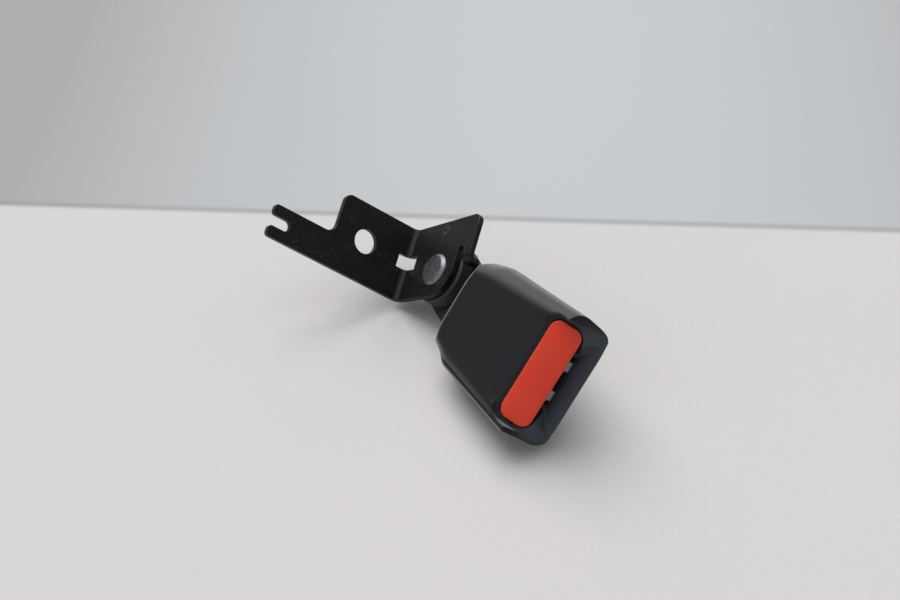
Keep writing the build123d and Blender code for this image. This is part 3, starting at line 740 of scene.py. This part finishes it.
@dataclass(frozen=True)
class SatinPlastic:
    """Smooth satin plastic with faint marks, a painted sheen towards its outline and a painted
    highlight on its edges.
    """

    name: str
    colour: Colour
    # Pale tone of the marks and specks, also used for the painted sheen and highlight.
    pale: Colour
    roughness: float = 0.38
    cloud_scale: float = 70.0
    cloud_share: float = 0.25
    cloud_roughness: float = 0.1
    fine_scale: float = 1500.0
    fine_depth: float = 0.00002
    fine_strength: float = 0.3
    marks: Scratches = Scratches((180.0, 3800.0, 180.0), (0.7, 0.8), 150.0, (0.5, 0.7))
    mark_turn: Point = (0.8, 0.2, 0.4)
    mark_share: float = 0.3
    mark_roughness: float = 0.2
    speck_scale: float = 1100.0
    speck_size: float = 0.09
    speck_share: float = 0.3
    sheen_band: Band = (0.45, 0.95)
    sheen_share: float = 0.6
    rim_highlight_band: Band = (0.51, 0.56)
    rim_highlight_share: float = 0.5
    specular: float = 0.38
    glow: float = 0.04
    glow_reach: float = 0.002

    def material(self) -> bpy.types.Material:
        """Builds the finish.

        Returns:
            The material.
        """
        tree = ShaderTree(self.name)
        cloud = tree.noise(self.cloud_scale, detail=3.0)
        fine = tree.noise(self.fine_scale, detail=3.0)
        marks = tree.scratched(self.marks, self.mark_turn)
        tone = (
            cloud * self.cloud_share
            + marks * self.mark_share
            + tree.specks(self.speck_scale, self.speck_size) * self.speck_share
            # Paler towards the outline and on the edges: a painted sheen and a painted highlight.
            + tree.facing().ramp(*self.sheen_band) * self.sheen_share
            + tree.pointiness().ramp(*self.rim_highlight_band) * self.rim_highlight_share
        )
        tree.surface(
            Base_Color=tree.mix(tone, self.colour, self.pale),
            Roughness=self.roughness + cloud * self.cloud_roughness + marks * self.mark_roughness,
            Normal=tree.bump(fine, self.fine_depth, self.fine_strength),
        )
        tree.shader.inputs["Specular IOR Level"].default_value = self.specular
        tree.shader.inputs["Subsurface Weight"].default_value = self.glow
        tree.shader.inputs["Subsurface Scale"].default_value = self.glow_reach
        return tree.material


@dataclass(frozen=True)
class BareSteel:
    """Bare, plated or blued steel."""

    name: str
    colour: Colour
    dark: Colour
    roughness: float = 0.35
    metallic: float = 1.0
    blotch_scale: float = 420.0
    blotch_band: Band = (0.35, 0.7)
    blotch_share: float = 0.7
    blotch_roughness: float = 0.2
    cloud_scale: float = 90.0
    cloud_share: float = 0.3
    brush_scale: Point = (3000.0, 3000.0, 120.0)
    brush_height: float = 0.3
    brush_roughness: float = 0.08
    relief_depth: float = 0.00003
    relief_strength: float = 0.3

    def material(self) -> bpy.types.Material:
        """Builds the finish.

        Returns:
            The material.
        """
        tree = ShaderTree(self.name)
        blotch = tree.noise(self.blotch_scale, detail=4.0)
        cloud = tree.noise(self.cloud_scale)
        brush = tree.streaks(self.brush_scale)
        tone = blotch.ramp(*self.blotch_band) * self.blotch_share + cloud * self.cloud_share
        rough = self.roughness + blotch * self.blotch_roughness + brush * self.brush_roughness
        relief = brush * self.brush_height + blotch
        tree.surface(
            Base_Color=self.tone(tree, tree.mix(tone, self.colour, self.dark)),
            Roughness=rough,
            Normal=tree.bump(relief, self.relief_depth, self.relief_strength),
        )
        tree.shader.inputs["Metallic"].default_value = self.metallic
        return tree.material

    def tone(self, tree: ShaderTree, colour: Wire) -> Wire:
        """Leaves the steel's colour as it is.

        Args:
            tree: The finish's shader tree.
            colour: The steel's own colour.

        Returns:
            The same colour.
        """
        return colour


@dataclass(frozen=True)
class RivetSteel(BareSteel):
    """Blued steel, with a highlight painted around the rim of its head."""

    centre: Point = (27.54, 18.294, -4.657)
    axis: Point = (-0.275932, -0.676615, 0.682682)
    rim: float = 6.1
    rim_fade: float = 0.4
    rim_highlight_share: float = 0.4
    patch_scale: float = 500.0
    patch_band: Band = (0.3, 0.6)
    highlight_colour: Colour = (0.36, 0.36, 0.37)

    def tone(self, tree: ShaderTree, colour: Wire) -> Wire:
        """Paints a highlight around the rim.

        Args:
            tree: The finish's shader tree.
            colour: The steel's own colour.

        Returns:
            The colour with the painted highlight.
        """
        offset = tree.vector("SUBTRACT", tree.position(), metres(self.centre))
        cross = tree.vector("CROSS_PRODUCT", offset, self.axis)
        radius = tree.vector("LENGTH", cross, output="Value")
        # A paler ring round the rim of the head, in patches: a painted highlight.
        painted_reflection = radius.ramp(self.rim * MM, (self.rim + self.rim_fade) * MM)
        patches = tree.noise(self.patch_scale).ramp(*self.patch_band)
        return tree.mix(painted_reflection * patches * self.rim_highlight_share, colour, self.highlight_colour)


@dataclass
class EdgedNode:
    """A rigid CAD node rebuilt with softened edges.

    The edge and the weld are in millimetres, the crease and the flat angle in degrees.
    """

    node: str
    body: Body
    slot: Slot
    material: bpy.types.Material
    edge: float = 0.3
    segments: int = 2
    crease: float = 32.0
    weld: float = 0.004
    flat: float = 0.6

    def build(self) -> bpy.types.Object:
        """Rebuilds the node as its own piece.

        Returns:
            The piece that replaces the node.
        """
        mesh = self.remade()
        mesh.materials.clear()
        mesh.materials.append(self.material)
        piece = bpy.data.objects.new(f"{self.node}_finished", mesh)
        bpy.context.scene.collection.objects.link(piece)
        self.soften(piece)
        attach(piece, self.body.value)
        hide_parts(self.node)
        return piece

    def remade(self) -> bpy.types.Mesh:
        """Joins split corners and flat triangles so that edges can be softened.

        Returns:
            The cleaned copy of the node's mesh.
        """
        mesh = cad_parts[self.node].data.copy()
        shape = bmesh.new()
        shape.from_mesh(mesh)
        bmesh.ops.remove_doubles(shape, verts=shape.verts, dist=self.weld * MM)
        bmesh.ops.dissolve_limit(
            shape,
            angle_limit=math.radians(self.flat),
            verts=shape.verts,
            edges=shape.edges,
            delimit={"NORMAL"},
        )
        for face in shape.faces:
            face.smooth = True
        shape.to_mesh(mesh)
        shape.free()
        mesh.set_sharp_from_angle(angle=math.radians(self.crease))
        return mesh

    def soften(self, piece: bpy.types.Object) -> None:
        """Rounds the piece's edges.

        Args:
            piece: The piece.
        """
        if self.edge:
            soften = piece.modifiers.new("soft_edges", "BEVEL")
            soften.width = self.edge * MM
            soften.segments = self.segments
            soften.limit_method = "ANGLE"
            soften.angle_limit = math.radians(self.crease)
            soften.use_clamp_overlap = True
            soften.harden_normals = True


@dataclass
class MouldedNode(EdgedNode):
    """A moulded CAD node rebuilt with the soft corners of its tool."""

    voxel: float = 0.4
    smoothing: int = 6
    smoothing_share: float = 0.5
    kept: float = 0.25

    def remade(self) -> bpy.types.Mesh:
        """Rebuilds the node as an even mesh and moulds it.

        Returns:
            The moulded mesh.
        """
        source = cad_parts[self.node].data.copy()
        draft = bpy.data.objects.new(f"{self.node}_draft", source)
        bpy.context.scene.collection.objects.link(draft)
        remesh = draft.modifiers.new("even_mesh", "REMESH")
        remesh.mode = "VOXEL"
        remesh.voxel_size = self.voxel * MM
        mesh = self.baked(draft)
        mesh.name = f"{self.node}_finished"
        self.shape(mesh)
        return mesh

    def soften(self, piece: bpy.types.Object) -> None:
        """Smooths the piece and thins its mesh out.

        Args:
            piece: The piece.
        """
        soften = piece.modifiers.new("soft_edges", "SMOOTH")
        soften.factor = self.smoothing_share
        soften.iterations = self.smoothing
        thin = piece.modifiers.new("fewer_faces", "DECIMATE")
        thin.ratio = self.kept

    def baked(self, draft: bpy.types.Object) -> bpy.types.Mesh:
        """Applies a draft's modifiers and removes the draft.

        Args:
            draft: The object to bake.

        Returns:
            The mesh as the modifiers leave it.
        """
        graph = bpy.context.evaluated_depsgraph_get()
        mesh = bpy.data.meshes.new_from_object(draft.evaluated_get(graph))
        for face in mesh.polygons:
            face.use_smooth = True
        bpy.data.objects.remove(draft)
        return mesh

    def shape(self, mesh: bpy.types.Mesh) -> None:
        """Moves points towards the moulded form, in the buckle's axes.

        Args:
            mesh: The mesh to shape.
        """
        to_row = np.array(BUCKLE_AXES.matrix())
        points = np.empty(len(mesh.vertices) * 3)
        mesh.vertices.foreach_get("co", points)
        points = points.reshape(-1, 3)
        local = (points - to_row[:3, 3]) @ to_row[:3, :3] / MM
        self.mould(local)
        points = local * MM @ to_row[:3, :3].T + to_row[:3, 3]
        mesh.vertices.foreach_set("co", points.ravel())
        mesh.update()

    def mould(self, points: np.ndarray) -> None:
        """Changes points in place. A plain moulded node leaves them as they are.

        Args:
            points: Rows of the distance along, across and above, in millimetres.
        """


@dataclass
class CoverNode(MouldedNode):
    """A cover with soft rear corners, a parting ridge and a filled recess.

    Its lengths are in millimetres in the buckle's axes, and the tilt is in degrees.
    """

    corner_reach: float = 16.0
    corner_pull: tuple[float, float] = (3.3, 2.0)
    top_rear: float = 13.7
    top_fall: float = 2.35
    ridge_height: float = 0.0
    ridge_width: float = 0.7
    ridge_band: float = 6.0
    ridge_start: float = 8.0
    ridge_across: float = 0.6
    ridge_above: float = 0.8
    lip_pull: float = 0.8
    lip_inward: float = 0.6
    lip_start: float = 57.0
    lip_run: float = 12.0
    lip_inner: float = 15.0
    lip_outer: float = 11.0
    lip_top: float = -2.0
    lip_depth: float = 7.0
    button_along: float = 58.3
    button_above: float = 6.1
    button_tilt: float = -32.0
    recess_back: float = 10.6
    recess_fill: float = 0.0
    wall_place: float = 0.4
    wall_behind: float = 5.0
    wall_end: float = 22.0
    wall_side: float = 6.0
    roll_end: float = 4.4
    roll_fade: float = 4.0
    roll_floor: float = 1.5
    roll_rise: float = 1.2

    def mould(self, points: np.ndarray) -> None:
        """Softens the rear corners and the lip, and raises the parting ridge.

        Args:
            points: Rows of the distance along, across and above, in millimetres.
        """
        along, across, above = points[:, 0], points[:, 1], points[:, 2]
        side = np.sign(across)
        share = np.clip(along / HOUSING_LENGTH, 0.0, 1.0)
        width = HOUSING_HALF_WIDTH + HOUSING_FLARE * share
        top = self.top_rear - self.top_fall * share
        inside = np.abs(across) - width + RIDGE_INSET + RIDGE_SPREAD * share
        near = np.exp(-((inside / self.ridge_width) ** 2))
        outer = (across < 0.0) & (above > top - self.ridge_band)
        begun = np.clip((along - self.ridge_start) / self.ridge_start, 0.0, 1.0)
        lift = self.ridge_height * near * outer * begun
        pull = self.eased(1.0 - along / self.corner_reach)
        pull *= self.eased(1.0 + (np.abs(across) - width) / self.corner_reach)
        pull *= np.where(across < 0.0, *self.corner_pull)
        along += pull
        across -= side * pull + self.ridge_across * lift
        above += self.ridge_above * lift
        lower = self.eased((along - self.lip_start) / self.lip_run)
        lower *= self.eased((np.abs(across) - self.lip_inner) / self.lip_outer)
        lower *= self.eased((self.lip_top - above) / self.lip_depth)
        across -= self.lip_inward * self.lip_pull * side * lower
        above += self.lip_pull * lower
        self.close_recess(points)

    def close_recess(self, points: np.ndarray) -> None:
        """Brings the recess's back wall up to the button with a soft roll.

        Args:
            points: Rows of the distance along, across and above, in millimetres.
        """
        tilt = math.radians(self.button_tilt)
        forward = points[:, 0] - self.button_along
        upward = points[:, 2] - self.button_above
        level = upward * math.cos(tilt) - forward * math.sin(tilt)
        place = forward * math.cos(tilt) + upward * math.sin(tilt) + self.recess_back
        share = self.eased(1.0 + (place - self.wall_place) / self.wall_behind)
        share *= self.eased((self.wall_end - np.abs(points[:, 1])) / self.wall_side)
        front = self.eased((self.roll_end - place) / self.roll_fade)
        share *= front * self.eased((level + self.roll_floor) / self.roll_rise)
        shift = self.recess_fill * share
        points[:, 0] += shift * math.cos(tilt)
        points[:, 2] += shift * math.sin(tilt)

    def eased(self, value: np.ndarray) -> np.ndarray:
        """Eases values from 0 to 1.

        Args:
            value: The values.

        Returns:
            The clamped and eased values.
        """
        value = np.clip(value, 0.0, 1.0)
        return value * value * (3.0 - 2.0 * value)


@dataclass
class Finishes:
    """Every material of the object."""

    bracket: bpy.types.Material = field(init=False)
    strap: bpy.types.Material = field(init=False)
    housing: bpy.types.Material = field(init=False)
    tray: bpy.types.Material = field(init=False)
    spacer: bpy.types.Material = field(init=False)
    button: bpy.types.Material = field(init=False)
    ejector: bpy.types.Material = field(init=False)
    rivet: bpy.types.Material = field(init=False)
    washer: bpy.types.Material = field(init=False)
    plated: bpy.types.Material = field(init=False)
    spring: bpy.types.Material = field(init=False)

    def __post_init__(self) -> None:
        """Makes the materials."""
        self.bracket = PaintedSteel("black_coating", chip=(16.71, 31.44, 4.0)).material()
        self.strap = PaintedSteel(
            "strap_coating", roughness=0.42, scratch_turn=(0.9, 0.1, 0.2)
        ).material()
        self.housing = CoverPlastic("charcoal_plastic").material()
        self.tray = MouldedPlastic(
            "tray_plastic",
            colour=(0.03, 0.032, 0.028),
            pale=(0.075, 0.075, 0.062),
            roughness=0.5,
        ).material()
        self.spacer = MouldedPlastic(
            "spacer_plastic", colour=(0.02, 0.02, 0.021), pale=(0.05, 0.05, 0.05)
        ).material()
        self.button = SatinPlastic(
            "red_plastic", colour=(0.71, 0.033, 0.009), pale=(0.8, 0.13, 0.06)
        ).material()
        self.ejector = SatinPlastic(
            "grey_green_plastic",
            colour=(0.25, 0.285, 0.27),
            pale=(0.4, 0.43, 0.4),
            roughness=0.4,
        ).material()
        self.rivet = RivetSteel(
            "blued_steel",
            colour=(0.2, 0.205, 0.23),
            dark=(0.075, 0.078, 0.09),
            roughness=0.38,
        ).material()
        self.washer = BareSteel(
            "plain_steel", colour=(0.45, 0.44, 0.42), dark=(0.2, 0.19, 0.18)
        ).material()
        self.plated = BareSteel(
            "plated_steel",
            colour=(0.5, 0.5, 0.48),
            dark=(0.3, 0.29, 0.26),
            roughness=0.3,
        ).material()
        self.spring = BareSteel(
            "spring_wire", colour=(0.4, 0.4, 0.4), dark=(0.2, 0.2, 0.2), roughness=0.25
        ).material()


@dataclass
class AnchorBracket:
    """The bent bracket that is bolted down."""

    finishes: Finishes
    edge: float = 0.35
    segments: int = 3

    def build(self) -> list[bpy.types.Object]:
        """Builds the bracket.

        Returns:
            Its pieces.
        """
        bracket = EdgedNode(
            "mounting_bracket",
            Body.ANCHOR,
            Slot.BRACKET,
            self.finishes.bracket,
            edge=self.edge,
            segments=self.segments,
        )
        return [bracket.build()]


@dataclass
class PivotStack:
    """Rivet, washers, spacer and bush of the pivot, and the strap on it."""

    finishes: Finishes
    edge: float = 0.2
    washer_edge: float = 0.08
    bush_edge: float = 0.05
    strap_edge: float = 0.4

    def build(self) -> list[bpy.types.Object]:
        """Builds the stack.

        Returns:
            Its pieces.
        """
        made = self.finishes
        parts = [
            EdgedNode("pivot_rivet", Body.ANCHOR, Slot.RIVET, made.rivet, self.edge),
            EdgedNode("spring_washer", Body.ANCHOR, Slot.WASHER, made.washer, self.washer_edge),
            EdgedNode("pivot_spacer", Body.ANCHOR, Slot.SPACER, made.spacer, self.edge),
            EdgedNode("tail_washer", Body.ANCHOR, Slot.WASHER, made.washer, self.edge),
            EdgedNode("pivot_bush", Body.BUCKLE, Slot.WASHER, made.washer, self.bush_edge),
            EdgedNode("buckle_strap", Body.BUCKLE, Slot.STRAP, made.strap, self.strap_edge),
        ]
        return [part.build() for part in parts]


@dataclass
class Housing:
    """The two covers and their screws."""

    finishes: Finishes
    upper_ridge: float = 1.3
    upper_fill: float = 2.1
    lower_smoothing: int = 3
    screw_edge: float = 0.1

    def build(self) -> list[bpy.types.Object]:
        """Builds the covers.

        Returns:
            Their pieces.
        """
        made = self.finishes
        upper = CoverNode("upper_cover", Body.BUCKLE, Slot.HOUSING, made.housing)
        upper.ridge_height = self.upper_ridge
        upper.recess_fill = self.upper_fill
        lower = CoverNode("lower_cover", Body.BUCKLE, Slot.HOUSING, made.tray)
        lower.smoothing = self.lower_smoothing
        screws = EdgedNode("cover_screws", Body.BUCKLE, Slot.WASHER, made.washer, self.screw_edge)
        return [part.build() for part in (upper, lower, screws)]


@dataclass
class ReleaseButton:
    """The red button."""

    finishes: Finishes
    smoothing: int = 8

    def build(self) -> list[bpy.types.Object]:
        """Builds the button.

        Returns:
            Its pieces.
        """
        button = MouldedNode("release_button", Body.BUTTON, Slot.BUTTON, self.finishes.button)
        button.smoothing = self.smoothing
        return [button.build()]


@dataclass
class Mechanism:
    """Frame, latch, ejector and springs inside the housing."""

    finishes: Finishes
    edge: float = 0.15
    finger_edge: float = 0.3
    wire_edge: float = 0.0
    spring_foot: Point = (106.7, 22.796, -1.769)
    spring_axis: Point = (0.465345, -0.616656, 0.634972)
    spring_pressed: float = 0.14

    def build(self) -> list[bpy.types.Object]:
        """Builds the inside.

        Returns:
            Its pieces.
        """
        made = self.finishes
        wire = (Slot.SPRING, made.spring, self.wire_edge)
        plate = (Slot.FRAME, made.plated, self.edge)
        parts = [
            EdgedNode("frame_lower_plate", Body.BUCKLE, *plate),
            EdgedNode("frame_upper_plate", Body.BUCKLE, *plate),
            EdgedNode("frame_rivets", Body.BUCKLE, *plate),
            EdgedNode("latch_plate", Body.LATCH, *plate),
            EdgedNode("latch_pin", Body.BUCKLE, *plate),
            EdgedNode("latch_spring", Body.LATCH, *wire),
            EdgedNode("ejector", Body.EJECTOR, Slot.EJECTOR, made.ejector, self.finger_edge),
            EdgedNode("ejector_spring", Body.BUCKLE, *wire),
        ]
        springs = EdgedNode("button_springs", Body.BUCKLE, *wire).build()
        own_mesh(springs)
        return [springs] + [part.build() for part in parts]


@dataclass(frozen=True)
class FloorPaper:
    """Pale matt floor, with a line of painted shade along a far line and a darker zone beyond it,
    painted lighter in its middle.
    """

    name: str
    left: Vector
    right: Vector
    near_tones: tuple[Colour, Colour] = ((0.565, 0.545, 0.54), (0.605, 0.585, 0.58))
    # Tones beyond the far line for its middle and its sides: a painted pool of light.
    far_light_pool_tones: tuple[Colour, Colour] = ((0.487, 0.509, 0.524), (0.335, 0.332, 0.335))
    far_middle: float = 0.25
    far_spread: float = 1.56
    edge: float = 0.0012
    # A thin dark line along the far line: painted shade where the backdrop meets the floor.
    corner_shade_rise: float = 0.003
    corner_shade_fall: float = 0.004
    corner_shade_share: float = 0.45
    cloud_scale: float = 12.0
    cloud_share: float = 0.6
    fibre_scale: float = 900.0
    fibre_band: Band = (0.3, 0.7)
    fibre_share: float = 0.4
    fibre_depth: float = 0.00005
    fibre_strength: float = 0.5
    dirt: Specks = Specks(55.0, 0.016, 30.0, (0.5, 0.6), 1.0)
    dirt_share: float = 0.7
    # Colour of the dirt specks and of the painted shade line.
    dirt_and_shade_colour: Colour = (0.2, 0.2, 0.21)
    roughness: float = 0.75
    cloud_roughness: float = 0.1

    def material(self) -> bpy.types.Material:
        """Builds the finish.

        Returns:
            The material.
        """
        line = self.right - self.left
        along = line.normalized()
        away = Vector((-along.y, along.x, 0.0))
        tree = ShaderTree(self.name)
        place = tree.node("ShaderNodeNewGeometry", output="Position")
        past = tree.vector("DOT_PRODUCT", place, tuple(away), output="Value")
        past = past - self.left.dot(away)
        beyond = past.ramp(-self.edge, self.edge)
        corner_shade = past.ramp(-self.corner_shade_rise, 0.0) * (1.0 - past.ramp(0.0, self.corner_shade_fall))
        across = tree.vector("DOT_PRODUCT", place, tuple(along), output="Value")
        middle = (self.left + self.right).dot(along) / 2.0
        offset = (across - middle) / (line.length / 2.0)
        cloud = tree.noise(self.cloud_scale, vector=place)
        fibre = tree.noise(self.fibre_scale, detail=3.0, vector=place).ramp(*self.fibre_band)
        tone = cloud * self.cloud_share + fibre * self.fibre_share
        near = tree.mix(tone, *self.near_tones)
        # Lighter in the middle and darker to each side: a painted pool of light on the backdrop.
        far = tree.mix((offset - self.far_middle) ** 2.0 / self.far_spread, *self.far_light_pool_tones)
        marks = corner_shade * self.corner_shade_share + tree.scattered(self.dirt, place) * self.dirt_share
        tree.surface(
            Base_Color=tree.mix(marks, tree.mix(beyond, near, far), self.dirt_and_shade_colour),
            Roughness=self.roughness + cloud * self.cloud_roughness,
            Normal=tree.bump(fibre, self.fibre_depth, self.fibre_strength),
        )
        return tree.material


@dataclass(frozen=True)
class Lamp:
    """A wide, distant lamp, with its width in the sky in degrees."""

    name: str
    towards: Point
    spread: float
    strength: float
    colour: Colour

    def build(self) -> None:
        """Hangs the lamp."""
        data = bpy.data.lights.new(self.name, "SUN")
        data.angle = math.radians(self.spread)
        data.energy = self.strength
        data.color = self.colour
        lamp = bpy.data.objects.new(self.name, data)
        lamp.rotation_euler = Vector(self.towards).to_track_quat("Z", "Y").to_euler()
        bpy.context.scene.collection.objects.link(lamp)


@dataclass
class Studio:
    """Floor, lamps and camera, in metres and in pixels of the image."""

    position: Point = (0.4462, -0.22212, 0.42737)
    right: Point = (0.523266, 0.85199, -0.017474)
    up: Point = (-0.574552, 0.367868, 0.731138)
    back: Point = (0.629351, -0.37254, 0.682006)
    lens: float = 60.0
    sensor: float = 36.0
    clip_start: float = 0.01
    image_width: float = 900.0
    image_height: float = 600.0
    floor_centre: Point = (0.05, 0.0, -0.0264)
    floor_reach: float = 6.0
    floor_cells: int = 8
    far_line: tuple[float, float] = (204.0, 231.0)
    sky_colour: Colour = (0.94, 0.96, 1.0)
    sky_strength: float = 0.23
    lamps: tuple[Lamp, ...] = (
        Lamp("window", (-0.8, 0.1, 0.95), 50.0, 2.45, (1.0, 0.99, 0.98)),
        Lamp("fill", (0.1, -1.0, 0.55), 90.0, 0.6, (0.97, 0.98, 1.0)),
        Lamp("ceiling", (-0.2, 0.3, 1.0), 80.0, 0.85, (0.98, 0.99, 1.0)),
    )

    def build(self) -> None:
        """Builds the surroundings."""
        self.camera()
        self.floor()
        for lamp in self.lamps:
            lamp.build()
        self.world()

    def ray(self, x: float, y: float) -> Vector:
        """Follows a pixel of the image to the floor.

        Args:
            x: The pixel's column.
            y: The pixel's row.

        Returns:
            The point on the floor.
        """
        focal = self.lens / self.sensor * self.image_width
        way = Vector(self.right) * (x - self.image_width / 2.0) / focal
        way += Vector(self.up) * (self.image_height / 2.0 - y) / focal
        way -= Vector(self.back)
        eye = Vector(self.position)
        return eye + way * ((self.floor_centre[2] - eye.z) / way.z)

    def camera(self) -> None:
        """Places the camera."""
        data = bpy.data.cameras.new("camera")
        data.lens = self.lens
        data.sensor_width = self.sensor
        data.clip_start = self.clip_start
        eye = bpy.data.objects.new("camera", data)
        turn = Matrix((self.right, self.up, self.back)).transposed().to_4x4()
        eye.matrix_world = Matrix.Translation(self.position) @ turn
        bpy.context.scene.collection.objects.link(eye)
        bpy.context.scene.camera = eye

    def floor(self) -> None:
        """Lays the floor."""
        mesh = bpy.data.meshes.new("floor")
        shape = bmesh.new()
        cells = self.floor_cells
        bmesh.ops.create_grid(shape, x_segments=cells, y_segments=cells, size=self.floor_reach)
        shape.to_mesh(mesh)
        shape.free()
        floor = bpy.data.objects.new("floor", mesh)
        floor.location = self.floor_centre
        bpy.context.scene.collection.objects.link(floor)
        left = self.ray(0.0, self.far_line[0])
        right = self.ray(self.image_width, self.far_line[1])
        mesh.materials.append(FloorPaper("pale_floor", left, right).material())

    def world(self) -> None:
        """Sets a plain world, dim so that dark plastic stays dark."""
        world = bpy.data.worlds.new("world")
        world.use_nodes = True
        sky = world.node_tree.nodes["Background"]
        sky.inputs["Color"].default_value = (*self.sky_colour, 1.0)
        sky.inputs["Strength"].default_value = self.sky_strength
        bpy.context.scene.world = world


def main() -> None:
    """Builds the scene."""
    logging.basicConfig(level=logging.INFO, format="%(message)s")
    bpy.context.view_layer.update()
    bpy.context.scene.view_settings.view_transform = "Standard"
    finishes = Finishes()
    groups = (AnchorBracket, PivotStack, Housing, ReleaseButton, Mechanism)
    for group in groups:
        for piece in group(finishes).build():
            log.info("built %s with %d faces", piece.name, len(piece.data.polygons))
    Studio().build()
    bpy.context.view_layer.update()


if __name__ == "__main__":
    main()
